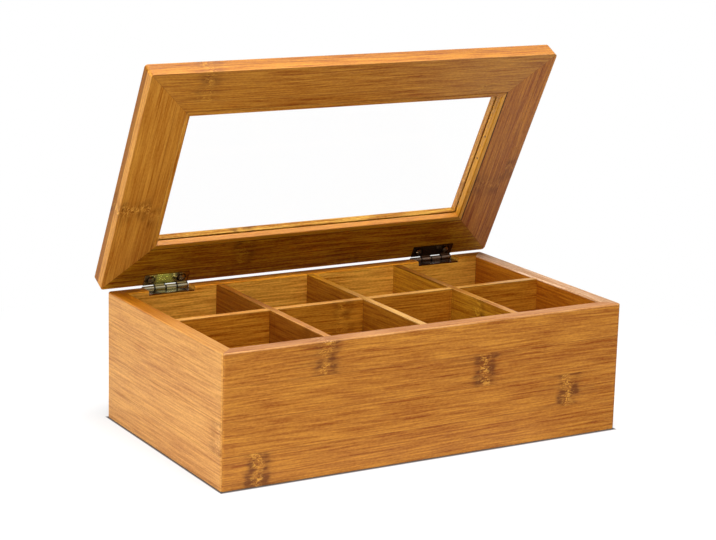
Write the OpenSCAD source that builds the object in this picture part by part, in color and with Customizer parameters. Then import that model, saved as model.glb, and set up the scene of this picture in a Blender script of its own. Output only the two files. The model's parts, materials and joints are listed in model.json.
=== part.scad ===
// Eight-compartment tea bag organizer: a mitred bamboo box with a lattice of dividers and a
// framed, glazed lid that swings on two small butt hinges let into the rear wall.
// Units are millimetres. X runs along the box, +Y points to the hinge side, +Z is up.
// The origin is the middle of the underside, on the plane the box stands on.

/* [Box] */
// Outside length of the box, side to side
box_length = 314; // [260:1:380]
// Outside depth of the box, front to back
box_depth = 180; // [150:1:230]
// Height of the box walls
box_height = 92.5; // [70:0.5:120]
// Thickness of the four walls
wall_thickness = 11; // [10:0.5:13]
// Radius on the upright outside corners
wall_corner_radius = 2.5; // [2:0.1:4]
// Radius on the top edges of the walls
rim_radius = 1.2; // [0.4:0.1:1.5]
// Radius on the bottom outside edges of the walls
foot_radius = 1.2; // [0.3:0.1:1.5]
// Thickness of the bottom panel
bottom_thickness = 3; // [2.5:0.5:5]
// How far the bottom panel is let into the walls
bottom_rebate = 5; // [3:0.5:7]

/* [Dividers] */
// Thickness of every divider
divider_thickness = 5.4; // [4:0.1:7]
// How far the dividers stop below the top of the walls
divider_drop = 0.5; // [0.3:0.1:5]
// Play on each face of a divider where two dividers cross
lap_clearance = 0.1; // [0.05:0.05:0.3]

/* [Lid] */
// Angle the lid is drawn open from the closed position
lid_angle = 62.6; // [0:0.1:180]
// Thickness of the lid rails
lid_thickness = 13; // [11.5:0.5:16]
// How far the lid passes each end of the box
lid_side_overhang = 4.8; // [0:0.1:8]
// How far the lid passes the front of the box
lid_front_overhang = 4.8; // [0:0.1:8]
// How far the back of the lid stops short of the rear wall's outside face
lid_rear_inset = 1; // [1:0.1:4]
// Gap between the closed lid and the top of the walls
lid_gap = 0.3; // [0.3:0.1:1]
// Radius on the corners of the lid in plan
lid_corner_radius = 2.5; // [2:0.5:8]
// Radius on the outside edges of the lid's top face
lid_edge_radius = 1.2; // [0.5:0.1:3]
// Width of a lid rail, from its outside edge to the glass rebate
rail_width = 32.2; // [24:0.1:36]
// Width of the lip that holds the glass from above, and of the beads below it
lip_width = 3.8; // [3.5:0.1:6]
// Radius on the window edge of the lip
window_edge_radius = 1.5; // [0.5:0.1:2]
// Depth of the glazing beads
bead_depth = 5.2; // [4:0.1:6]
// Radius on the two long edges of a bead's open face
bead_edge_radius = 0.8; // [0.3:0.1:1.2]

/* [Window pane] */
// Thickness of the pane
pane_thickness = 2; // [1.5:0.5:3]
// Play around the edge of the pane in its rebate
pane_clearance = 0.5; // [0.3:0.1:1]

/* [Bead pins] */
// Radius of a bead pin
brad_radius = 0.6; // [0.5:0.1:0.8]
// Length of a bead pin
brad_length = 11; // [9:0.5:14]
// Radius of a bead pin's flat head
brad_head_radius = 0.9; // [0.9:0.1:1.2]
// Thickness of a bead pin's flat head
brad_head_thickness = 0.5; // [0.3:0.1:1]
// Distance of the first pin in front of the middle of a side bead
front_brad_distance = 18; // [10:1:30]
// Distance of the second pin behind the middle of a side bead
rear_brad_distance = 2; // [0:1:30]

/* [Hinges] */
// Distance from the end of the box to the middle of a hinge
hinge_inset = 45; // [34:1:60]
// Length of a hinge
hinge_length = 35; // [30:1:42]
// Thickness of a hinge leaf
leaf_thickness = 1; // [0.8:0.1:1.2]
// Width of a hinge leaf, from the pin's centre line to its free edge
leaf_width = 11.7; // [11:0.1:11.7]
// Space between the two closed leaves
leaf_spacing = 2; // [1.8:0.1:2.6]
// Number of knuckles along a hinge
knuckle_count = 4; // [4:1:6]
// Gap between neighbouring knuckles
knuckle_gap = 0.3; // [0.3:0.1:0.5]
// Gap between a knuckle and the cut-out in the other leaf
knuckle_relief = 0.4; // [0.3:0.1:0.6]
// Radius of the hinge pin
pin_radius = 0.85; // [0.6:0.05:0.85]
// Radial play of the pin in the knuckles
pin_clearance = 0.05; // [0.02:0.01:0.08]
// Distance of the pin's centre line behind the rear wall
pin_setback = 1; // [1:0.1:1.5]
// Gap at each end of a hinge in its notch
notch_clearance = 0.5; // [0.3:0.1:1]

/* [Hinge screws] */
// Distance between the two screws of a leaf
screw_spacing = 24; // [18:0.5:24]
// Radius of a screw's shank
screw_radius = 1.1; // [0.9:0.1:1.3]
// Radius of a screw's countersunk head
screw_head_radius = 2.3; // [1.8:0.1:2.5]
// Height of the domed top of a screw's head
screw_dome_height = 0.4; // [0.3:0.1:0.5]
// Length of a screw below the leaf's face
screw_length = 9; // [7:0.5:10]
// Play around a screw in the leaf
screw_clearance = 0.05; // [0.05:0.05:0.1]
// How much wider than the screw's head the countersink opens
countersink_margin = 0.4; // [0.1:0.1:0.5]
// Length of the cross recess in a screw's head
recess_length = 2.2; // [1.6:0.1:2.4]
// Width of the cross recess in a screw's head
recess_width = 0.5; // [0.4:0.1:0.7]
// Depth of the cross recess below the top of the dome
recess_depth = 0.7; // [0.5:0.1:0.9]

/* [Hidden] */
$fn = 96;
// Extra length that lets a cutting shape pass a face
pass = 1;
// Inside of the box
inside_length = box_length - 2 * wall_thickness;
inside_depth = box_depth - 2 * wall_thickness;
// Dividers stand on the bottom panel
divider_height = box_height - divider_drop - bottom_thickness;
divider_mid_height = bottom_thickness + divider_height / 2;
// The three cross dividers leave four equal compartments along the box
compartments_along = 4;
compartment_length =
    (inside_length - (compartments_along - 1) * divider_thickness) / compartments_along;
divider_pitch = compartment_length + divider_thickness;
lap_width = divider_thickness + 2 * lap_clearance;
// Closed lid
lid_length = box_length + 2 * lid_side_overhang;
lid_depth = box_depth + lid_front_overhang - lid_rear_inset;
lid_middle_y = -(lid_front_overhang + lid_rear_inset) / 2;
lid_underside = box_height + lid_gap;
border_width = rail_width + lip_width;
lip_height = bead_depth + pane_thickness;
rebate_length = lid_length - 2 * rail_width;
rebate_depth = lid_depth - 2 * rail_width;
// Hinges: the lower leaf lies on the floor of its notch, the upper leaf on the closed lid
hinge_x = box_length / 2 - hinge_inset;
knuckle_radius = leaf_thickness + leaf_spacing / 2;
pin_y = box_depth / 2 + pin_setback;
pin_z = lid_underside - knuckle_radius;
bore_radius = pin_radius + pin_clearance;
knuckle_pitch = hinge_length / knuckle_count;
leaf_root = knuckle_radius + knuckle_relief;
notch_depth = box_height - (pin_z - knuckle_radius);
notch_length = hinge_length + 2 * notch_clearance;
screw_line = (leaf_root + leaf_width) / 2;
dome_radius = (screw_head_radius * screw_head_radius + screw_dome_height * screw_dome_height)
    / (2 * screw_dome_height);

// Section of a strip along an outside edge, with its top outer corner rounded, and its bottom
// outer corner too where a foot radius is given.
module edge_section(width, height, radius, foot = 0) {
    difference() {
        square([width, height]);
        translate([width - radius, height - radius])
            difference() {
                square(2 * radius);
                circle(r = radius);
            }
        if (foot > 0)
            translate([width - foot, foot])
                difference() {
                    translate([0, -2 * foot])
                        square(2 * foot);
                    circle(r = foot);
                }
    }
}

// Block standing on Z = 0 with rounded upright corners, rounded top edges and, where a foot
// radius is given, rounded bottom edges.
module eased_block(length, depth, height, corner, edge, foot = 0) {
    core_length = length - 2 * corner;
    core_depth = depth - 2 * corner;
    translate([-core_length / 2, -core_depth / 2, 0])
        cube([core_length, core_depth, height]);
    for (turn = [0, 180])
        rotate([0, 0, turn])
            translate([-core_length / 2, core_depth / 2, 0])
                rotate([90, 0, 90])
                    linear_extrude(core_length)
                        edge_section(corner, height, edge, foot);
    for (turn = [90, 270])
        rotate([0, 0, turn])
            translate([-core_depth / 2, core_length / 2, 0])
                rotate([90, 0, 90])
                    linear_extrude(core_depth)
                        edge_section(corner, height, edge, foot);
    for (place = [[1, 1, 0], [-1, 1, 90], [-1, -1, 180], [1, -1, 270]])
        translate([place[0] * core_length / 2, place[1] * core_depth / 2, 0])
            rotate([0, 0, place[2]])
                rotate_extrude(angle = 90)
                    edge_section(corner, height, edge, foot);
}

// Plan of the member along the front of a mitred frame.
module mitre_plan(run, span, width) {
    polygon([
        [-run / 2 - pass, -span / 2 - pass],
        [run / 2 + pass, -span / 2 - pass],
        [run / 2 - width, -span / 2 + width],
        [-run / 2 + width, -span / 2 + width]
    ]);
}

// Member along the front of a mitred frame; the child is its section, drawn with X pointing
// inwards from the outside face and Y pointing up.
module mitred_member(run, span, width, height) {
    intersection() {
        translate([-run / 2, -span / 2, 0])
            rotate([90, 0, 90])
                linear_extrude(run)
                    children();
        linear_extrude(height)
            mitre_plan(run, span, width);
    }
}

// Section of a box wall: rebated below for the bottom panel, inner rim edge rounded.
module wall_section() {
    difference() {
        edge_section(wall_thickness, box_height, rim_radius);
        translate([wall_thickness - bottom_rebate, -pass])
            square([bottom_rebate + pass, bottom_thickness + pass]);
    }
}

// One wall of the box; the turn picks the side.
module box_wall(turn) {
    across = (turn % 180 == 0);
    run = across ? box_length : box_depth;
    span = across ? box_depth : box_length;
    intersection() {
        eased_block(box_length, box_depth, box_height, wall_corner_radius, rim_radius, foot_radius);
        rotate([0, 0, turn])
            mitred_member(run, span, wall_thickness, box_height)
                wall_section();
    }
}

// Section of a lid rail with its rebate and the lip over the pane.
module rail_section() {
    difference() {
        edge_section(border_width, lid_thickness, window_edge_radius);
        translate([rail_width, -pass])
            square([lip_width + pass, lip_height + pass]);
    }
}

// One rail of the lid, lying on Z = 0; the turn picks the side.
module lid_rail(turn) {
    across = (turn % 180 == 0);
    run = across ? lid_length : lid_depth;
    span = across ? lid_depth : lid_length;
    intersection() {
        eased_block(lid_length, lid_depth, lid_thickness, lid_corner_radius, lid_edge_radius);
        rotate([0, 0, turn])
            mitred_member(run, span, border_width, lid_thickness)
                rail_section();
    }
}

// Section of a glazing bead with both edges of its open face rounded.
module bead_section() {
    translate([lip_width / 2, bead_depth])
        for (side = [0, 1])
            mirror([side, 0])
                mirror([0, 1])
                    edge_section(lip_width / 2, bead_depth, bead_edge_radius);
}

// One glazing bead, lying on Z = 0 against its rail; the turn picks the side.
module glazing_bead(turn) {
    across = (turn % 180 == 0);
    run = across ? rebate_length : rebate_depth;
    span = across ? rebate_depth : rebate_length;
    rotate([0, 0, turn])
        mitred_member(run, span, lip_width, bead_depth)
            bead_section();
}

// Places a child in the frame of the closed lid, then swings it open about the pins.
module on_lid() {
    translate([0, pin_y, pin_z])
        rotate([-lid_angle, 0, 0])
            translate([0, lid_middle_y - pin_y, lid_underside - pin_z])
                children();
}

// Places a child on the hinge line: side is -1 for the left hinge and 1 for the right.
module at_hinge(side) {
    translate([side * hinge_x, pin_y, pin_z])
        children();
}

// Swings a child about the hinge line with the lid.
module with_lid(side) {
    at_hinge(side)
        rotate([-lid_angle, 0, 0])
            mirror([0, 0, 1])
                children();
}

// One leaf with every second knuckle; its pin line is X, and it lies below that line.
module hinge_leaf(first_knuckle) {
    difference() {
        union() {
            translate([-hinge_length / 2, -leaf_width, -knuckle_radius])
                cube([hinge_length, leaf_width - leaf_root, leaf_thickness]);
            for (knuckle = [first_knuckle : 2 : knuckle_count - 1])
                leaf_knuckle(knuckle);
        }
        rotate([0, 90, 0])
            cylinder(r = bore_radius, h = hinge_length + 2 * pass, center = true);
        at_leaf_screws()
            leaf_screw_hole();
    }
}

// One knuckle with the tab that joins it to the leaf.
module leaf_knuckle(knuckle) {
    start_gap = (knuckle == 0) ? 0 : knuckle_gap / 2;
    end_gap = (knuckle == knuckle_count - 1) ? 0 : knuckle_gap / 2;
    knuckle_length = knuckle_pitch - start_gap - end_gap;
    translate([knuckle * knuckle_pitch + start_gap - hinge_length / 2, 0, 0]) {
        rotate([0, 90, 0])
            cylinder(r = knuckle_radius, h = knuckle_length);
        translate([0, -leaf_root, -knuckle_radius])
            cube([knuckle_length, leaf_root, leaf_thickness]);
    }
}

// Repeats a child at the two screw places of a leaf, on the leaf's open face.
module at_leaf_screws() {
    for (side = [-1, 1])
        translate([side * screw_spacing / 2, -screw_line, leaf_thickness - knuckle_radius])
            children();
}

// Countersunk hole through a leaf, opening upwards from Z = 0.
module leaf_screw_hole() {
    translate([0, 0, -leaf_thickness])
        cylinder(
            r1 = screw_radius + screw_clearance,
            r2 = screw_head_radius + countersink_margin,
            h = leaf_thickness
        );
}

// Countersunk screw with a domed head, pointing down from Z = 0.
module leaf_screw() {
    difference() {
        union() {
            translate([0, 0, -leaf_thickness])
                cylinder(r1 = screw_radius, r2 = screw_head_radius, h = leaf_thickness);
            translate([0, 0, -screw_length])
                cylinder(r = screw_radius, h = screw_length - leaf_thickness);
            intersection() {
                translate([0, 0, screw_dome_height - dome_radius])
                    sphere(r = dome_radius);
                cylinder(r = screw_head_radius, h = 2 * screw_dome_height);
            }
        }
        for (turn = [0, 90])
            rotate([0, 0, turn])
                translate([-recess_length / 2, -recess_width / 2, screw_dome_height - recess_depth])
                    cube([recess_length, recess_width, recess_depth + pass]);
    }
}

// Hole that a screw's shank fills in the wood under a leaf. It passes the wood's face.
module screw_pilot() {
    translate([0, 0, -screw_length])
        cylinder(r = screw_radius, h = screw_length - leaf_thickness + pass);
}

// Shape of one bead pin, pointing along +X from the bead's window face at X = 0.
module bead_brad() {
    rotate([0, 90, 0]) {
        cylinder(r = brad_head_radius, h = brad_head_thickness);
        cylinder(r = brad_radius, h = brad_length);
    }
}

// All bead pins, in the frame of the closed lid.
module bead_brad_set() {
    for (side = [0, 1])
        mirror([side, 0, 0])
            for (place = [-front_brad_distance, rear_brad_distance])
                translate([lid_length / 2 - border_width, place, bead_depth / 2])
                    bead_brad();
}

// Rear wall's notches and the screw holes in their floors.
module hinge_notches() {
    for (side = [-1, 1])
        at_hinge(side) {
            translate([-notch_length / 2, -pin_setback - wall_thickness - pass, -knuckle_radius])
                cube([notch_length, wall_thickness + 2 * pass, notch_depth + pass]);
            at_leaf_screws()
                screw_pilot();
        }
}

// Divider running along the box, slotted from above for the cross dividers.
module long_divider_board() {
    difference() {
        translate([-inside_length / 2, -divider_thickness / 2, bottom_thickness])
            cube([inside_length, divider_thickness, divider_height]);
        for (step = [-1, 0, 1])
            translate([
                step * divider_pitch - lap_width / 2,
                -divider_thickness / 2 - pass,
                divider_mid_height - lap_clearance
            ])
                cube([lap_width, divider_thickness + 2 * pass, divider_height]);
    }
}

// Divider running front to back, slotted from below for the long divider.
module cross_divider_board(step) {
    translate([step * divider_pitch, 0, 0])
        difference() {
            translate([-divider_thickness / 2, -inside_depth / 2, bottom_thickness])
                cube([divider_thickness, inside_depth, divider_height]);
            translate([
                -divider_thickness / 2 - pass,
                -lap_width / 2,
                divider_mid_height + lap_clearance - divider_height
            ])
                cube([divider_thickness + 2 * pass, lap_width, divider_height]);
        }
}

module front_panel() {
    color("peru")
        box_wall(0);
}

module right_panel() {
    color("burlywood")
        box_wall(90);
}

module rear_panel() {
    color("peru")
        difference() {
            box_wall(180);
            hinge_notches();
        }
}

module left_panel() {
    color("burlywood")
        box_wall(270);
}

module bottom_panel() {
    panel_length = inside_length + 2 * bottom_rebate;
    panel_depth = inside_depth + 2 * bottom_rebate;
    color("tan")
        translate([-panel_length / 2, -panel_depth / 2, 0])
            cube([panel_length, panel_depth, bottom_thickness]);
}

module long_divider() {
    color("sandybrown")
        long_divider_board();
}

module left_cross_divider() {
    color("sandybrown")
        cross_divider_board(-1);
}

module centre_cross_divider() {
    color("sandybrown")
        cross_divider_board(0);
}

module right_cross_divider() {
    color("sandybrown")
        cross_divider_board(1);
}

module left_hinge_body_leaf() {
    color("dimgray")
        at_hinge(-1)
            hinge_leaf(0);
}

module right_hinge_body_leaf() {
    color("dimgray")
        at_hinge(1)
            hinge_leaf(0);
}

module hinge_pin() {
    rotate([0, 90, 0])
        cylinder(r = pin_radius, h = hinge_length, center = true);
}

module left_hinge_pin() {
    color("gray")
        at_hinge(-1)
            hinge_pin();
}

module right_hinge_pin() {
    color("gray")
        at_hinge(1)
            hinge_pin();
}

module body_leaf_screws() {
    color("slategray")
        for (side = [-1, 1])
            at_hinge(side)
                at_leaf_screws()
                    leaf_screw();
}

module lid_front_rail() {
    color("chocolate")
        on_lid()
            lid_rail(0);
}

module lid_rear_rail() {
    color("chocolate")
        difference() {
            on_lid()
                lid_rail(180);
            for (side = [-1, 1])
                with_lid(side)
                    at_leaf_screws()
                        screw_pilot();
        }
}

module lid_left_rail() {
    color("goldenrod")
        on_lid()
            difference() {
                lid_rail(270);
                bead_brad_set();
            }
}

module lid_right_rail() {
    color("goldenrod")
        on_lid()
            difference() {
                lid_rail(90);
                bead_brad_set();
            }
}

module window_pane() {
    pane_length = rebate_length - 2 * pane_clearance;
    pane_depth = rebate_depth - 2 * pane_clearance;
    color("lightblue", 0.4)
        on_lid()
            translate([-pane_length / 2, -pane_depth / 2, bead_depth])
                cube([pane_length, pane_depth, pane_thickness]);
}

module front_glazing_bead() {
    color("orange")
        on_lid()
            glazing_bead(0);
}

module rear_glazing_bead() {
    color("orange")
        on_lid()
            glazing_bead(180);
}

module left_glazing_bead() {
    color("orange")
        on_lid()
            difference() {
                glazing_bead(270);
                bead_brad_set();
            }
}

module right_glazing_bead() {
    color("orange")
        on_lid()
            difference() {
                glazing_bead(90);
                bead_brad_set();
            }
}

module bead_brads() {
    color("black")
        on_lid()
            bead_brad_set();
}

module left_hinge_lid_leaf() {
    color("darkslategray")
        with_lid(-1)
            hinge_leaf(1);
}

module right_hinge_lid_leaf() {
    color("darkslategray")
        with_lid(1)
            hinge_leaf(1);
}

module lid_leaf_screws() {
    color("slategray")
        for (side = [-1, 1])
            with_lid(side)
                at_leaf_screws()
                    leaf_screw();
}

front_panel();
rear_panel();
left_panel();
right_panel();
bottom_panel();
long_divider();
left_cross_divider();
centre_cross_divider();
right_cross_divider();
left_hinge_body_leaf();
right_hinge_body_leaf();
left_hinge_pin();
right_hinge_pin();
body_leaf_screws();
lid_front_rail();
lid_rear_rail();
lid_left_rail();
lid_right_rail();
window_pane();
front_glazing_bead();
rear_glazing_bead();
left_glazing_bead();
right_glazing_bead();
bead_brads();
left_hinge_lid_leaf();
right_hinge_lid_leaf();
lid_leaf_screws();
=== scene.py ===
import json
import math

import bpy
from mathutils import Matrix, Vector


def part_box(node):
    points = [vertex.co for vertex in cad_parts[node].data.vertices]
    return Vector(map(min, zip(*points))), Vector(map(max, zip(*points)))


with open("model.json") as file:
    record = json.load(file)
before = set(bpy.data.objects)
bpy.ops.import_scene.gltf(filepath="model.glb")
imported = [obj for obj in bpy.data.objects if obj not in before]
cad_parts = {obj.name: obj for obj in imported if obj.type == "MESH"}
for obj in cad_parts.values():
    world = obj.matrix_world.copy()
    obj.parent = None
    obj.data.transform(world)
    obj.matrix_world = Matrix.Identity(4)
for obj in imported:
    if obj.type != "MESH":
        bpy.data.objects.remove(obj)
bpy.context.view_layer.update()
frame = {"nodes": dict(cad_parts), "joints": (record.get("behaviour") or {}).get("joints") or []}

nodes = frame["nodes"]
scene = bpy.context.scene
MM = 0.001
WHITE = (1, 1, 1, 1)
BLACK = (0, 0, 0, 1)
SAME = (1, 1, 1)  # a tint that changes nothing

# ---------------------------------------------------------------- node building


class Tree:
    """Adds nodes to a node tree and links them, so that a formula reads as one."""

    def __init__(self, tree):
        self.tree = tree

    def node(self, kind, inputs=None, **settings):
        made = self.tree.nodes.new(kind)
        for key, value in settings.items():
            setattr(made, key, value)
        for key, value in (inputs or {}).items():
            self.feed(made.inputs[key], value)
        return made

    def feed(self, socket, value):
        if isinstance(value, bpy.types.NodeSocket):
            self.tree.links.new(value, socket)
        else:
            socket.default_value = value

    def math(self, op, *values, clamp=False):
        made = self.node("ShaderNodeMath", operation=op, use_clamp=clamp)
        for socket, value in zip(made.inputs, values):
            self.feed(socket, value)
        return made.outputs[0]

    def add(self, *values):
        total = values[0]
        for value in values[1:]:
            total = self.math("ADD", total, value)
        return total

    def sub(self, first, second):
        return self.math("SUBTRACT", first, second)

    def mul(self, *values):
        total = values[0]
        for value in values[1:]:
            total = self.math("MULTIPLY", total, value)
        return total

    def low(self, first, second):
        return self.math("MINIMUM", first, second)

    def high(self, first, second):
        return self.math("MAXIMUM", first, second)

    def unsigned(self, value):
        return self.math("ABSOLUTE", value)

    def hypot(self, x, y):
        return self.math("SQRT", self.add(self.mul(x, x), self.mul(y, y)))

    def off_whole(self, value):
        """How far value is from the nearest whole number."""
        return self.unsigned(self.sub(value, self.math("ROUND", value)))

    def step(self, value, low, high, to_low=0.0, to_high=1.0):
        """Smooth step from to_low at low to to_high at high."""
        made = self.node("ShaderNodeMapRange", interpolation_type="SMOOTHSTEP")
        for socket, v in zip(made.inputs, (value, low, high, to_low, to_high)):
            self.feed(socket, v)
        return made.outputs[0]

    def fade(self, value, low, high):
        """Smooth step from 1 at low to 0 at high."""
        return self.step(value, low, high, 1.0, 0.0)

    def bell(self, value, width):
        """1 at zero, falling to about a third at width."""
        x = self.math("DIVIDE", value, width)
        return self.math("EXPONENT", self.mul(x, x, -1.0))

    def point(self, kind="Object"):
        return self.node("ShaderNodeTexCoord").outputs[kind]

    def split(self, vector):
        return self.node("ShaderNodeSeparateXYZ", {"Vector": vector}).outputs

    def join(self, x, y, z):
        return self.node("ShaderNodeCombineXYZ", {"X": x, "Y": y, "Z": z}).outputs[0]

    def scaled(self, vector, factors):
        made = self.node("ShaderNodeVectorMath", operation="MULTIPLY")
        self.feed(made.inputs[0], vector)
        self.feed(made.inputs[1], factors)
        return made.outputs[0]

    def noise(self, vector, factors, detail=2.0, roughness=0.55, distortion=0.0):
        """Noise with as many features to the metre in each direction as factors says."""
        return self.node(
            "ShaderNodeTexNoise",
            {
                "Vector": self.scaled(vector, factors),
                "Scale": 1.0,
                "Detail": detail,
                "Roughness": roughness,
                "Distortion": distortion,
            },
        ).outputs[0]

    def centred(self, value, gain):
        """value's swing about one half, times gain."""
        return self.mul(self.sub(value, 0.5), gain)

    def mix(self, factor, first, second, blend="MIX"):
        """Colour mix; inputs 6 and 7 and output 2 are the node's colour sockets."""
        made = self.node("ShaderNodeMix", data_type="RGBA", blend_type=blend)
        self.feed(made.inputs[0], factor)
        self.feed(made.inputs[6], first)
        self.feed(made.inputs[7], second)
        return made.outputs[2]

    def tinted(self, colour, tint):
        return self.mix(1.0, colour, tint, "MULTIPLY")

    def choose(self, factor, first, second):
        """Shader first where factor is 0, second where it is 1."""
        return self.node("ShaderNodeMixShader", {0: factor, 1: first, 2: second}).outputs[0]

    def rays(self):
        """1 for rays that the background shows itself to, and 1 for those of them that mirror it.

        A ray through glass counts as a glossy one too, so it is taken off the mirroring ones.
        """
        ray = self.node("ShaderNodeLightPath").outputs
        through = ray["Is Transmission Ray"]
        seen = self.high(ray["Is Camera Ray"], self.high(ray["Is Glossy Ray"], through))
        mirrored = self.math("SUBTRACT", ray["Is Glossy Ray"], through, clamp=True)
        return seen, mirrored

    def surface(self, shader):
        self.node("ShaderNodeOutputMaterial", {"Surface": shader})


def new_material(name):
    mat = bpy.data.materials.new(name)
    mat.use_nodes = True
    mat.node_tree.nodes.clear()
    return mat, Tree(mat.node_tree)


def new_group(name, inputs, outputs):
    group = bpy.data.node_groups.new(name, "ShaderNodeTree")
    for way, sockets in (("INPUT", inputs), ("OUTPUT", outputs)):
        for label, kind in sockets:
            group.interface.new_socket(label, in_out=way, socket_type="NodeSocket" + kind)
    t = Tree(group)
    return t, t.node("NodeGroupInput").outputs, t.node("NodeGroupOutput").inputs, group


def dress(mat, *names):
    for name in names:
        mesh = nodes[name].data
        mesh.materials.clear()
        mesh.materials.append(mat)


# ---------------------------------------------------------------- sizes, from the frame

(lid_hinge,) = frame["joints"]
LID_PIN = Vector(lid_hinge["pos_m"])
# The lid is drawn open, and is closed at the lowest value of its joint.
CLOSING = Matrix.Rotation(math.radians(lid_hinge["range_deg"][0]), 3, lid_hinge["axis"])


def as_drawn(point):
    return point


def as_closed(point):
    """Where a point of the open lid lies when the lid is closed."""
    return LID_PIN + CLOSING @ (point - LID_PIN)


def clean(length):
    """A length read from a mesh, to the nearest micrometre."""
    return round(length, 6)


def measure(names, place=as_drawn):
    """The middle of these nodes' foot, and their half length, half depth and height together."""
    points = [place(vertex.co) for name in names for vertex in nodes[name].data.vertices]
    x, y, z = ((min(part), max(part)) for part in zip(*points))
    foot = sum(x) / 2, sum(y) / 2, z[0]
    size = (x[1] - x[0]) / 2, (y[1] - y[0]) / 2, z[1] - z[0]
    return Vector([clean(part) for part in foot]), [clean(part) for part in size]


SIDES = "front", "rear", "left", "right"
_, BOX_SIZE = measure([side + "_panel" for side in SIDES])
LID_FOOT, LID_SIZE = measure([f"lid_{side}_rail" for side in SIDES], as_closed)
# The glazing beads fill the rebate that the glass lies in. The lip that the glass rests against
# reaches further in, to the edge of the window.
_, beads = measure([side + "_glazing_bead" for side in SIDES], as_closed)
REBATE, BEAD_HEIGHT = beads[:2], beads[2]
window_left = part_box("lid_left_rail")[1][0]
LIP = clean(REBATE[0] - abs(window_left))
# A hinge is as long as its pin.
right_pin_foot, (HALF_HINGE, _, _) = measure(["right_hinge_pin"])
HINGE_X = right_pin_foot.x  # middle of the right hinge

# ---------------------------------------------------------------- bamboo

# Point is (along the grain, across the strips, through the board), in metres.
t, given, gives, bamboo_group = new_group(
    "bamboo_strips",
    [
        ("Point", "Vector"),
        ("Strip", "Float"),
        ("Seed", "Float"),
        ("Joint", "Float"),
        ("Mark At", "Float"),
        ("Mark Strength", "Float"),
        ("Tone", "Float"),
        ("Figure", "Float"),
        ("Stain", "Float"),
        ("Dark", "Color"),
        ("Light", "Color"),
    ],
    [("Color", "Color"), ("Roughness", "Float"), ("Height", "Float")],
)
STRIP_SHIFT = 0.371  # how far apart two strips lie in the grain's pattern
MEAN_TONE = 0.44
u, v, w = t.split(given["Point"])
warp = t.noise(given["Point"], (4, 14, 14), detail=1.0)
v_bent = t.add(v, t.centred(warp, 0.007))
layer = t.add(w, t.mul(given["Strip"], STRIP_SHIFT), given["Seed"])
grain = t.join(u, v_bent, layer)

fine = t.noise(grain, (30, 860, 860), roughness=0.45)
medium = t.noise(grain, (14, 400, 400))
broad = t.noise(grain, (7, 70, 70))
lines = t.step(t.noise(grain, (24, 600, 600), detail=1.0), 0.55, 0.68)
ticks = t.step(t.noise(grain, (95, 1300, 1300), detail=1.0), 0.56, 0.64)
flecks = t.noise(grain, (420, 1100, 1100), detail=1.0)
swing = t.add(
    t.centred(fine, 2.0),
    t.centred(medium, 0.5),
    t.centred(broad, 0.6),
    t.centred(flecks, 0.8),
    t.mul(lines, -0.29),
    t.mul(ticks, -0.12),
    0.10,
)
tone = t.add(MEAN_TONE, t.mul(swing, given["Figure"]), given["Tone"])

# A node of the culm: short curled fibres between two brown smudges that run out along the grain.
# Its widths are in metres along the grain, from the middle of the mark.
CURLS_WIDTH = 0.0042
FAR_SMUDGE, FAR_WIDTH = 0.0062, 0.0040
NEAR_SMUDGE, NEAR_WIDTH = 0.0052, 0.0030
TAILS_WIDTH = 0.024
MOST_BROWN = 0.82
strength, stain = given["Mark Strength"], given["Stain"]
away = t.sub(u, given["Mark At"])
across = t.add(away, t.centred(t.noise(given["Point"], (60, 200, 200)), 0.014))
broken = t.step(t.noise(grain, (130, 260, 260), detail=1.0), 0.36, 0.58, 0.25, 1.0)
band = t.mul(t.bell(across, CURLS_WIDTH), broken)
curls = t.noise(grain, (300, 560, 560), distortion=1.2)
curl_light = t.mul(band, t.step(curls, 0.50, 0.60), strength)
curl_dark = t.mul(band, t.step(curls, 0.50, 0.40), strength)
patch = t.step(t.noise(grain, (40, 110, 110), detail=1.0), 0.40, 0.58)
streaks = t.step(t.noise(grain, (60, 620, 620), roughness=0.5), 0.36, 0.64)
beside = t.add(
    t.bell(t.sub(across, FAR_SMUDGE), FAR_WIDTH),
    t.mul(t.bell(t.add(across, NEAR_SMUDGE), NEAR_WIDTH), 0.9),
)
smudge = t.mul(
    beside, t.add(0.35, t.mul(patch, 0.75)), t.add(0.4, t.mul(streaks, 0.6)), strength
)
tails = t.mul(
    t.bell(away, TAILS_WIDTH), t.step(t.noise(grain, (18, 330, 330)), 0.5, 0.66), strength, 0.6
)
brown = t.add(t.mul(smudge, stain), t.mul(curl_dark, 0.6), t.mul(tails, stain, 0.6))

wood = t.mix(t.math("MAXIMUM", tone, 0.0, clamp=True), given["Dark"], given["Light"])
wood = t.mix(
    t.math("MINIMUM", brown, MOST_BROWN, clamp=True),
    wood,
    t.scaled(given["Dark"], (0.44, 0.40, 0.8)),
)
wood = t.mix(
    t.mul(curl_light, t.add(0.3, t.mul(stain, 0.5))),
    wood,
    t.scaled(given["Light"], (1.15, 1.35, 1.8)),
)
wood = t.mix(t.mul(given["Joint"], 0.4), wood, t.scaled(given["Dark"], (0.5, 0.5, 0.5)))
t.feed(gives["Color"], wood)
t.feed(
    gives["Roughness"],
    t.add(
        0.38,
        t.centred(medium, 0.22),
        t.centred(fine, 0.16),
        t.mul(brown, 0.12),
        t.mul(given["Joint"], 0.2),
    ),
)
t.feed(
    gives["Height"],
    t.add(
        t.mul(fine, 0.45),
        t.mul(medium, 0.35),
        t.mul(curls, band, strength, 0.9),
        t.mul(ticks, -0.35),
        t.mul(given["Joint"], -1.2),
    ),
)

PLY_JOINT = 0.00655  # height in the closed lid of the joint of a rail's two plies

DARK = (0.285, 0.064, 0.001)
LIGHT = (0.690, 0.298, 0.050)
WORN = (0.72, 0.34, 0.085, 1)
# the seam between a lid rail and its glazing bead: a dark glue joint, made darker with painted
# shade
SEAM_JOINT_SHADE = (0.07, 0.022, 0.003, 1)
GLUE = (0.10, 0.035, 0.006, 1)

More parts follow.
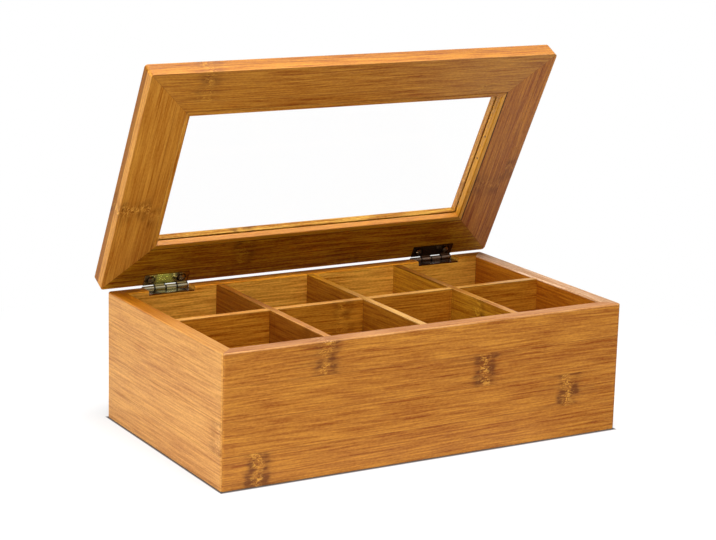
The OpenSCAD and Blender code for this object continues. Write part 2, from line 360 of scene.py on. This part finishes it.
# How far from its edge or face each of these is whole, and how far off it has faded out.
JOINT_FADE = 0.004, 0.011  # in strip widths
WEAR_FADE = 0.0002, 0.0016
MITRE_FADE = 0.00008, 0.0003
BACK_FADE = 0.0004, 0.0010
PAINTED_RIM_FADE = 0.0009, 0.0014
SEAM_FADE = 0.0002, 0.0007
OUTSIDE_FADE = 0.0003, 0.0008
WINDOW_FADE = 0.0005 - LIP, 0.0010 - LIP
# Heights in the closed lid between which a bead's open face ends, and one ply turns to the other.
BEAD_FACE = BEAD_HEIGHT - 0.0002, BEAD_HEIGHT + 0.0004
PLY_CHANGE = 0.0064, 0.0067
GLUE_WIDTH = 0.00018

STRIP_WIDTH = 23.12 * MM
SEED_SHIFT = 0.613  # how far apart two boards lie in the grain's pattern
MARK_RANGE = 400  # what a colour stop's 0 to 1 stands for, in mm along the board
BUMP_STRENGTH, BUMP_DEPTH = 0.22, 0.00035


def lid_mapping(t, point):
    """Turns a point of the open lid to the closed lid's frame.

    Its zero is the middle of the lid's plan, on its underside.
    """
    return t.node(
        "ShaderNodeMapping",
        {
            "Vector": point,
            "Location": as_closed(Vector((0, 0, 0))) - LID_FOOT,
            "Rotation": CLOSING.to_euler(),
        },
        vector_type="POINT",
    ).outputs[0]


def mark(place, strength, tone=0.0):
    """A strip's node mark, place mm along the board, and how much paler than the others it is."""
    return place, strength, tone


def plain(tone=0.0):
    """A strip whose mark would lie past the board's end."""
    return mark(190, 0.0, tone)


def strip_marks(t, index, marks):
    """Mark place in metres, mark strength and tone of the strip with this index."""
    n = len(marks)
    ramp = t.node("ShaderNodeValToRGB", {"Fac": t.math("DIVIDE", t.add(index, 0.5), float(n))})
    ramp.color_ramp.interpolation = "CONSTANT"
    stops = ramp.color_ramp.elements
    while len(stops) > n:
        stops.remove(stops[-1])
    while len(stops) < n:
        stops.new(0.5)
    for i in range(n):
        stops[i].position = i / n
    for stop, (place, strength, tone) in zip(stops, marks):
        stop.color = (place / MARK_RANGE + 0.5, strength, tone + 0.5, 1)
    told = t.node("ShaderNodeSeparateColor", {"Color": ramp.outputs[0]}).outputs
    return t.mul(t.sub(told[0], 0.5), MARK_RANGE * MM), told[1], t.sub(told[2], 0.5)


def bamboo(
    name, run, marks, seed, phase=0.0, lid=False, gain=SAME, tone=0.0, figure=1.0, stain=1.0,
    gloss=0.3, back=None, rim=None, sides=None, seam=0.2,
):
    """A board's bamboo, with painted light and shade in its tints.

    run names the axes along the grain, across the strips and through the board. marks has one
    mark() or plain() for each strip, from the lowest strip up, and phase says where between two
    joints the first strip starts. gain tints the wood and tone makes it paler; both hold the
    board's own tone and also painted light and shade, paler where a board is lit and darker where
    it is shaded. figure is how strong its grain is, stain how brown its marks are, and gloss its
    specular level.
    back is a tint for a box board's outside face or a lid rail's top face, which takes most of the
    painted light and shade of gain off that face. rim is a painted sheen and shade
    for each end of a box board's top edge. sides is for a lid rail, which is two plies deep: a
    tint for the outside edge of the lower ply, one for that of the upper ply, and one for the lip
    around the window. The ply tints are partly the plies' own tones and partly painted shade and
    sheen, and the lip tint is a painted sheen and shade. seam is how dark the seam between a rail
    and its
    glazing bead is: a glue joint, darkened further with painted shade.
    """
    dark, light = (
        [*(min(1, c * g) for c, g in zip(end, gain)), 1] for end in (DARK, LIGHT)
    )
    mat, t = new_material(name)
    point = t.point()
    if lid:
        point = lid_mapping(t, point)
    xyz = dict(zip("XYZ", t.split(point)))
    u, v, w = (xyz[axis] for axis in run)
    # strips, and the thin joint between two of them
    at = t.add(t.math("DIVIDE", v, STRIP_WIDTH), phase)
    index = t.math("FLOOR", at)
    joint = t.fade(t.off_whole(at), *JOINT_FADE)
    mark_at, mark_strength, strip_tone = strip_marks(t, index, marks)
    # distance to the nearest outer edge of the box or lid, for wear, and to a mitre
    half_x, half_y, height = LID_SIZE if lid else BOX_SIZE
    side_x, side_y, z = t.unsigned(xyz["X"]), t.unsigned(xyz["Y"]), xyz["Z"]
    a, b = t.sub(half_x, side_x), t.sub(half_y, side_y)
    from_top, from_side = t.sub(height, z), t.low(a, b)
    edge = t.high(from_side, t.low(t.high(a, b), t.low(from_top, z)))
    patchy = t.step(t.noise(point, (90, 90, 90), detail=3.0), 0.3, 0.62, 0.35, 1.0)
    worn = t.mul(t.fade(edge, *WEAR_FADE), patchy)
    mitre = t.fade(t.unsigned(t.sub(a, b)), *MITRE_FADE)
    made = t.node(
        "ShaderNodeGroup",
        {
            "Point": t.join(u, v, w),
            "Strip": index,
            "Seed": seed * SEED_SHIFT,
            "Joint": t.high(joint, mitre),
            "Mark At": mark_at,
            "Mark Strength": mark_strength,
            "Tone": t.add(strip_tone, tone),
            "Figure": figure,
            "Stain": stain,
            "Dark": dark,
            "Light": light,
        },
        node_tree=bamboo_group,
    )
    colour = made.outputs["Color"]
    if back:
        # painted light and shade: this face gets a tint of its own, which takes most of what gain
        # paints off it
        depth = from_top if lid else from_side
        colour = t.mix(t.fade(depth, *BACK_FADE), colour, t.scaled(colour, back))
    if rim:
        # painted sheen and shade on a box board's top edge, a tint at each end: pale with sheen,
        # and darker where the lid shades it
        reach = 0.8 * (half_x, half_y)[run[0] == "Y"]
        tint = t.mix(t.step(u, -reach, reach), *((*end, 1) for end in rim))
        colour = t.mix(t.fade(from_top, *PAINTED_RIM_FADE), colour, t.tinted(colour, tint))
    if lid:
        around = t.high(t.sub(side_x, REBATE[0]), t.sub(side_y, REBATE[1]))
        below = t.fade(z, *BEAD_FACE)
        # the dark seam: a glue joint, darkened further with painted shade of the space between
        # rail and bead
        seam_joint_shade = t.mul(t.fade(t.unsigned(around), *SEAM_FADE), below, seam)
        colour = t.mix(seam_joint_shade, colour, SEAM_JOINT_SHADE)
    if sides:
        # the outside edge tints are partly the plies' own tones and partly painted shade and
        # sheen, and the lip tint is a painted sheen and shade
        lower, upper, lip = ((*part, 1) for part in sides)
        outside = t.fade(from_side, *OUTSIDE_FADE)
        window = t.fade(around, *WINDOW_FADE)
        tint = t.mix(outside, WHITE, t.mix(t.step(z, *PLY_CHANGE), lower, upper))
        colour = t.tinted(colour, t.mix(window, tint, lip))
        glue = t.mul(t.bell(t.sub(z, PLY_JOINT), GLUE_WIDTH), outside, 0.45)
        colour = t.mix(glue, colour, GLUE)
    bump = t.node(
        "ShaderNodeBump",
        {"Strength": BUMP_STRENGTH, "Distance": BUMP_DEPTH, "Height": made.outputs["Height"]},
    )
    shader = t.node(
        "ShaderNodeBsdfPrincipled",
        {
            "Base Color": t.mix(t.mul(worn, 0.22), colour, WORN),
            "Roughness": t.add(made.outputs["Roughness"], t.mul(worn, -0.06)),
            "IOR": 1.5,
            "Specular IOR Level": gloss,
            "Normal": bump.outputs[0],
        },
    )
    t.surface(shader.outputs[0])
    return mat


def board(node, name, run, marks, seed, **look):
    dress(bamboo(name, run, marks, seed, **look), node)


# box boards
# Each board's gain and tone, and back, are partly its own tone and partly painted light and shade:
# boards deep in shade are darker, and the left board paler as lit from the left. Each rim paints a
# sheen on the top edge that darkens where the lid shades it.
board(
    "front_panel", "bamboo_front", "XZY", seed=1.0, gain=(1.04, 1.01, 0.6), figure=0.74,
    rim=((0.95, 1.15, 4.2), (0.98, 1.25, 5.0)),
    marks=[mark(-131, 1.0), mark(114, 1.0, 0.02), mark(43, 1.0, -0.02), mark(-82, 0.9, 0.02)],
)
# painted light: the rear board is made paler for its inside face, shaded by the lid, and back
# takes this off its outside face; its top edge is darkened with painted shade
board(
    "rear_panel", "bamboo_rear", "XZY", seed=2.0, gain=(1.4, 1.7, 1.4), tone=0.1, figure=0.8,
    gloss=0.1, back=(0.86, 0.76, 0.75), rim=((0.8, 0.62, 0.25), (0.75, 0.57, 0.25)),
    marks=[mark(92, 0.8), mark(-38, 0.9, 0.03), mark(131, 0.8, -0.03), plain(0.03)],
)
# painted light: the left board is paler and whiter, as lit from the left, and the rear end of its
# top edge darker, in painted lid shade
board(
    "left_panel", "bamboo_left", "YZX", seed=3.0, gain=(1.45, 1.77, 2.8), figure=0.5, gloss=0.15,
    rim=((0.85, 0.9, 1.0), (0.82, 0.6, 0.02)),
    marks=[plain(), mark(-84, 0.35, 0.03), plain(-0.02), plain(0.03)],
)
# painted shade: the right board is darker, and its top edge carries a strong painted sheen
board(
    "right_panel", "bamboo_right", "YZX", seed=4.0, gain=(0.82, 0.66, 0.18), figure=0.8,
    rim=((1.3, 2.5, 34), (1.75, 3.6, 56)),
    marks=[mark(31, 0.8, 0.02), plain(-0.02), mark(-52, 0.7), plain(0.02)],
)
board(
    "bottom_panel", "bamboo_bottom", "XYZ", seed=5.0, phase=4.0,
    marks=[
        mark(-96, 0.6), mark(60, 0.8, 0.03), mark(-20, 0.5, -0.03), mark(128, 0.7, 0.02),
        mark(-134, 0.7, -0.02), mark(18, 0.6, 0.02), mark(84, 0.8), mark(-60, 0.6, 0.02),
    ],
)
# painted shade: the dividers are darker the deeper they stand in shade, and their top edges carry
# painted sheen, darkened at the rear of the cross dividers by painted shade
divider = {"figure": 0.8, "gloss": 0.12}
board(
    "long_divider", "bamboo_long_divider", "XZY", seed=6.0, gain=(1.02, 1.02, 0.47),
    rim=((1.05, 1.25, 3.4), (0.82, 1.05, 2.8)), **divider,
    marks=[plain(), mark(-118, 0.6), mark(66, 0.6, 0.02), mark(-20, 0.5)],
)
board(
    "left_cross_divider", "bamboo_left_cross_divider", "YZX", seed=7.0, gain=(0.58, 0.50, 0.25),
    rim=((1.5, 1.9, 4.6), (0.62, 0.58, 0.4)), **divider,
    marks=[plain(), mark(35, 0.5), plain(), mark(-62, 0.4, 0.02)],
)
board(
    "centre_cross_divider", "bamboo_centre_cross_divider", "YZX", seed=8.0, gain=(0.72, 0.68, 0.3),
    rim=((1.3, 1.85, 6.4), (0.72, 0.76, 0.5)), **divider,
    marks=[mark(-30, 0.6), plain(), mark(48, 0.5), plain(0.02)],
)
board(
    "right_cross_divider", "bamboo_right_cross_divider", "YZX", seed=9.0, gain=(0.94, 1.06, 0.4),
    rim=((0.84, 0.84, 2.2), (0.31, 0.23, 0.15)), **divider,
    marks=[plain(), mark(-24, 0.7), plain(), mark(-36, 0.6, 0.02)],
)

# lid rails
# Each rail's gain and sides are partly its own tone and partly painted light and shade.
board(
    "lid_front_rail", "bamboo_lid_front", "XYZ", seed=11.0, phase=3.94, lid=True,
    gain=(0.95, 1.01, 0.62), figure=0.72, stain=0.5, gloss=0.35,
    marks=[mark(-118, 0.9), mark(106, 0.5)],
    sides=((0.94, 0.87, 0.7), (0.8, 0.7, 0.5), SAME),
)
# painted shade: gain darkens the rear rail for its underside, in the lid's shadow; back and sides
# take this off its top face and outside edge, and its lip tint is a painted sheen
board(
    "lid_rear_rail", "bamboo_lid_rear", "XYZ", seed=12.0, phase=-2.59, lid=True,
    gain=(0.64, 0.65, 0.16), figure=1.4, gloss=0.1,
    marks=[mark(-55, 0.8), mark(37, 0.6)],
    back=(1.4, 1.45, 3.2), sides=((1.4, 1.45, 3.2), (1.4, 1.45, 3.2), (1.08, 1.35, 5.5)),
)
board(
    "lid_left_rail", "bamboo_lid_left", "YXZ", seed=13.0, phase=6.96, lid=True,
    gain=(1.07, 1.18, 0.98), figure=0.5, stain=0.5, gloss=0.12,
    marks=[mark(22, 1.0, 0.02), mark(29, 1.0, -0.02)],
    sides=((1.37, 1.45, 1.9), (0.68, 0.55, 0.07), SAME),
)
board(
    "lid_right_rail", "bamboo_lid_right", "YXZ", seed=14.0, phase=-5.62, lid=True,
    gain=(0.86, 0.77, 0.42), figure=0.78, stain=0.95, seam=0.85,
    marks=[mark(26, 0.5), mark(11, 0.7)],
    sides=(SAME, SAME, (1.35, 1.8, 3.6)),
)

# glazing beads: the side around the window has a tint of its own, a painted sheen and shade; the
# rear bead is darkened with painted shade, as the lid's rear rail is
for seed, name, run, gain, tone, lip, seam in (
    (15.0, "front_glazing_bead", "XYZ", (0.96, 1.03, 0.7), 0.0, SAME, 0.15),
    (16.0, "rear_glazing_bead", "XYZ", (0.64, 0.65, 0.16), 0.5, (0.78, 0.66, 1.3), 0.3),
    (17.0, "left_glazing_bead", "YXZ", (1.06, 1.17, 0.85), 0.0, SAME, 0.15),
    (18.0, "right_glazing_bead", "YXZ", (1.05, 1.1, 0.55), 0.5, (0.8, 0.78, 0.6), 0.85),
):
    board(
        name, "bamboo_" + name, run, seed=seed, phase=0.3, lid=True, gain=gain, tone=tone,
        figure=0.8, marks=[plain()], sides=(SAME, SAME, lip), seam=seam,
    )

# ---------------------------------------------------------------- glass and metal

PANE_IOR = 1.12  # low, so that the window mirrors little
glass, t = new_material("clear_pane")
film = t.noise(t.point(), (35, 35, 35), detail=3.0)
pane = t.node(
    "ShaderNodeBsdfPrincipled",
    {
        "Base Color": WHITE,
        "Roughness": t.step(film, 0.45, 0.8, 0.0, 0.02),
        "IOR": PANE_IOR,
        "Transmission Weight": 1.0,
    },
)
clear = t.node("ShaderNodeBsdfTransparent", {"Color": (0.97, 0.975, 0.97, 1)})
lamps = t.node("ShaderNodeLightPath").outputs["Is Shadow Ray"]
t.surface(t.choose(lamps, pane.outputs[0], clear.outputs[0]))
dress(glass, "window_pane")

BETWEEN_SCREWS = 0.0066, 0.0090  # from the hinge's middle, where the painted reflection between the screws ends
BARREL = 0.0022, 0.0028  # from the pin's centre, where the knuckles and their painted highlight end
SCREW = 0.0120, 0.0071  # from the hinge's middle and from the pin's centre
SCREW_RING, RING_WIDTH = 0.0029, 0.0007
KNUCKLE = 2 * HALF_HINGE / 4  # four to a hinge
KNUCKLE_GAP = 0.05, 0.09  # in knuckle lengths
GAP_REACH = 0.0026, 0.0032  # from the pin's centre
# dark rings round the screws and lines between the knuckles: painted shade, with some grime
GRIME_AND_GAP_SHADE = (0.015, 0.010, 0.006, 1)


def hinge_colour(t, base, point, middle, between, knuckle_highlight):
    """base, with a painted reflection between its screws and a painted highlight on its knuckles.

    Dark rings round each screw and dark lines between the knuckles are painted shade of the
    countersinks and of the spaces between the knuckles, with some grime.
    """
    x, y, z = t.split(point)
    x = t.unsigned(t.sub(x, middle))
    reach = t.hypot(t.sub(y, LID_PIN.y), t.sub(z, LID_PIN.z))
    base = t.mix(t.fade(x, *BETWEEN_SCREWS), base, (*between, 1))
    base = t.mix(t.fade(reach, *BARREL), base, (*knuckle_highlight, 1))
    from_screw = t.hypot(t.sub(x, SCREW[0]), t.sub(reach, SCREW[1]))
    countersink_shade = t.bell(t.sub(from_screw, SCREW_RING), RING_WIDTH)
    knuckle_gap_shade = t.fade(t.off_whole(t.math("DIVIDE", x, KNUCKLE)), *KNUCKLE_GAP)
    knuckle_gap_shade = t.mul(knuckle_gap_shade, t.fade(reach, *GAP_REACH))
    return t.mix(t.mul(t.high(countersink_shade, knuckle_gap_shade), 0.9), base, GRIME_AND_GAP_SHADE)


def metal(name, colour, worn_colour, rough, scale=1.0, hinge=None):
    """Plated metal: mottled, a little rubbed, with a fine rolled grain.

    rough is its roughness and scale how fine its mottling is. hinge is (middle of the hinge
    along X, painted reflection colour between its screws, painted highlight colour of its
    knuckles).
    """
    mat, t = new_material(name)
    point = t.point()
    cloud = t.noise(point, (260 * scale, 260 * scale, 260 * scale), detail=4.0, roughness=0.6)
    rolled = t.noise(point, (180, 4200, 4200))
    base = t.mix(t.mul(t.step(cloud, 0.48, 0.72), 0.3), (*colour, 1), (*worn_colour, 1))
    if hinge:
        base = hinge_colour(t, base, point, *hinge)
    bump = t.node(
        "ShaderNodeBump",
        {
            "Strength": 0.25,
            "Distance": 0.00012,
            "Height": t.add(t.mul(rolled, 0.25), t.mul(cloud, 0.8)),
        },
    )
    shader = t.node(
        "ShaderNodeBsdfPrincipled",
        {
            "Base Color": base,
            "Metallic": 1.0,
            "Roughness": t.add(rough, t.centred(cloud, 0.22), t.centred(rolled, 0.1)),
            "Normal": bump.outputs[0],
        },
    )
    t.surface(shader.outputs[0])
    return mat


# painted reflections: the two hinges are alike, but the left one is painted bright, with a
# yellow-green reflection between its screws and a pale highlight on its knuckles
dress(
    metal(
        "hinge_bronze", (0.34, 0.25, 0.13), (0.64, 0.52, 0.30), 0.16,
        hinge=(-HINGE_X, (0.50, 0.49, 0.20), (0.66, 0.58, 0.38)),
    ),
    "left_hinge_body_leaf", "left_hinge_lid_leaf",
)
# painted shade: the right hinge is a darker copy of the same bronze, with dark painted reflections
dress(
    metal(
        "bronze_right_hinge_painted_dark_reflection", (0.11, 0.07, 0.045), (0.36, 0.26, 0.16), 0.18,
        hinge=(HINGE_X, (0.12, 0.08, 0.05), (0.30, 0.20, 0.14)),
    ),
    "right_hinge_body_leaf", "right_hinge_lid_leaf",
)
dress(
    metal("pin_steel", (0.22, 0.17, 0.12), (0.5, 0.42, 0.32), 0.28),
    "left_hinge_pin", "right_hinge_pin",
)
dress(
    metal("screw_bronze", (0.40, 0.32, 0.23), (0.66, 0.55, 0.42), 0.2, scale=2.0),
    "body_leaf_screws", "lid_leaf_screws",
)
dress(metal("brad_steel", (0.10, 0.06, 0.035), (0.25, 0.17, 0.11), 0.45, scale=3.0), "bead_brads")

# ---------------------------------------------------------------- floor, world, lights


def grey(level):
    return (level, level, level, 1)


FLOOR_HALF = 6.0
# How far past the box's foot its painted contact shadow starts to fade and ends, and how far
# from the floor's middle the floor starts to fade to white and is white.
CONTACT = 0.0005, 0.0028
TO_WHITE = 0.22, 0.42

floor_mesh = bpy.data.meshes.new("floor")
floor_mesh.from_pydata(
    [(x * FLOOR_HALF, y * FLOOR_HALF, 0) for x, y in ((-1, -1), (1, -1), (1, 1), (-1, 1))],
    [], [(0, 1, 2, 3)],
)
floor = bpy.data.objects.new("floor", floor_mesh)
scene.collection.objects.link(floor)
floor_paper, t = new_material("floor")
seen, mirrored = t.rays()
paper = t.noise(t.point(), (60, 60, 60), detail=3.0)
lit = t.node("ShaderNodeBsdfDiffuse", {"Color": t.mix(paper, grey(0.72), grey(0.78))})
x, y, _ = t.split(t.point())
# painted shade on the floor, seen only in reflections: the floor in front of the box is dark,
# and to its right lies a painted shadow of the box, where wood and metal mirror it
painted_dark_front = t.mul(t.fade(y, -0.17, -0.10), t.step(x, -0.16, -0.06))
painted_shadow_right = t.mul(t.fade(x, 0.24, 0.28), t.step(x, 0.08, 0.14))
aside = t.mul(t.high(painted_dark_front, painted_shadow_right), mirrored)
# past the box's ends the distance counts double, so that no corner of the painted shadow sticks
# out
beyond = t.high(
    t.mul(t.sub(t.unsigned(x), BOX_SIZE[0]), 2.0), t.sub(t.unsigned(y), BOX_SIZE[1])
)
painted_contact_shadow = t.step(beyond, *CONTACT, 0.9, 0.0)
far = t.step(t.hypot(x, y), *TO_WHITE)
shade = t.node(
    "ShaderNodeBsdfDiffuse",
    {"Color": t.mix(t.high(t.high(far, aside), painted_contact_shadow), grey(0.3), BLACK)},
)
glow = t.mix(far, grey(0.68), WHITE)
# painted contact shadow: next to the box's foot the floor's glow turns near black
glow = t.mix(painted_contact_shadow, glow, (0.04, 0.02, 0.01, 1))
glow = t.mix(aside, glow, grey(0.06))
white = t.node("ShaderNodeEmission", {"Color": glow, "Strength": 1.0})
pale = t.node("ShaderNodeAddShader", {0: shade.outputs[0], 1: white.outputs[0]})
t.surface(t.choose(seen, lit.outputs[0], pale.outputs[0]))
floor_mesh.materials.append(floor_paper)

DARK_SIDE = (0.8, -0.6, -0.8)  # the direction from which what is mirrored is darker

world = bpy.data.worlds.new("studio")
scene.world = world
world.use_nodes = True
world.node_tree.nodes.clear()
t = Tree(world.node_tree)
seen, mirrored = t.rays()
x, y, z = t.split(t.point("Generated"))
facing = t.add(*(t.mul(part, share) for part, share in zip((x, y, z), DARK_SIDE)))
aside = t.mul(t.step(facing, -0.1, 0.5), mirrored)
dim = t.node("ShaderNodeBackground", {"Color": WHITE, "Strength": 0.25})
full = t.node("ShaderNodeBackground", {"Color": t.mix(aside, WHITE, grey(0.3)), "Strength": 1.0})
t.node("ShaderNodeOutputWorld", {"Surface": t.choose(seen, dim.outputs[0], full.outputs[0])})

LAMP_AIM = Vector((0, 0, 0.06))
LAMP_SIZE = 0.9


def softbox(name, place, watts):
    data = bpy.data.lights.new(name, "AREA")
    data.shape = "DISK"
    data.size = LAMP_SIZE
    data.energy = watts
    lamp = bpy.data.objects.new(name, data)
    lamp.location = place
    lamp.rotation_euler = (LAMP_AIM - Vector(place)).to_track_quat("-Z", "Y").to_euler()
    scene.collection.objects.link(lamp)


softbox("top", (0, -0.2, 1.6), 34)
softbox("front_left", (-0.9, -1.5, 0.8), 5)
softbox("left", (-1.7, -0.5, 0.45), 6)
softbox("top_left", (-1.1, 0.1, 1.3), 4)

# ---------------------------------------------------------------- camera

# The camera's place, in box lengths from a point OFF_HEIGHT above the middle of the box's foot:
# OFF_X to the camera's right, OFF_Y up and OFF_Z back along its view. Its focal length is
# FOCAL_PIXELS in a picture that is PICTURE_PIXELS wide.
LENGTH = 2 * BOX_SIZE[0]
YAW, PITCH, ROLL = 0.53492, 0.23207, 0.02732
OFF_X, OFF_Y, OFF_Z = -0.01266, 0.15339, 4.71975
OFF_HEIGHT = 0.2
FOCAL_PIXELS, PICTURE_PIXELS, SENSOR_MM = 2094.81, 716, 36
ahead = Vector(
    (math.sin(YAW) * math.cos(PITCH), math.cos(YAW) * math.cos(PITCH), -math.sin(PITCH))
)
level = Vector((math.cos(YAW), -math.sin(YAW), 0))
upright = level.cross(ahead)
right = math.cos(ROLL) * level + math.sin(ROLL) * upright
up = -math.sin(ROLL) * level + math.cos(ROLL) * upright
place = -OFF_Z * ahead + OFF_X * right + OFF_Y * up + Vector((0, 0, OFF_HEIGHT))
camera_data = bpy.data.cameras.new("camera")
camera_data.sensor_width = SENSOR_MM
camera_data.lens = FOCAL_PIXELS / PICTURE_PIXELS * SENSOR_MM
camera_data.clip_start, camera_data.clip_end = 0.05, 30
camera = bpy.data.objects.new("camera", camera_data)
basis = Matrix((right, up, -ahead)).transposed()
camera.matrix_world = Matrix.Translation(place * LENGTH) @ basis.to_4x4()
scene.collection.objects.link(camera)
scene.camera = camera
scene.view_settings.view_transform = "Standard"
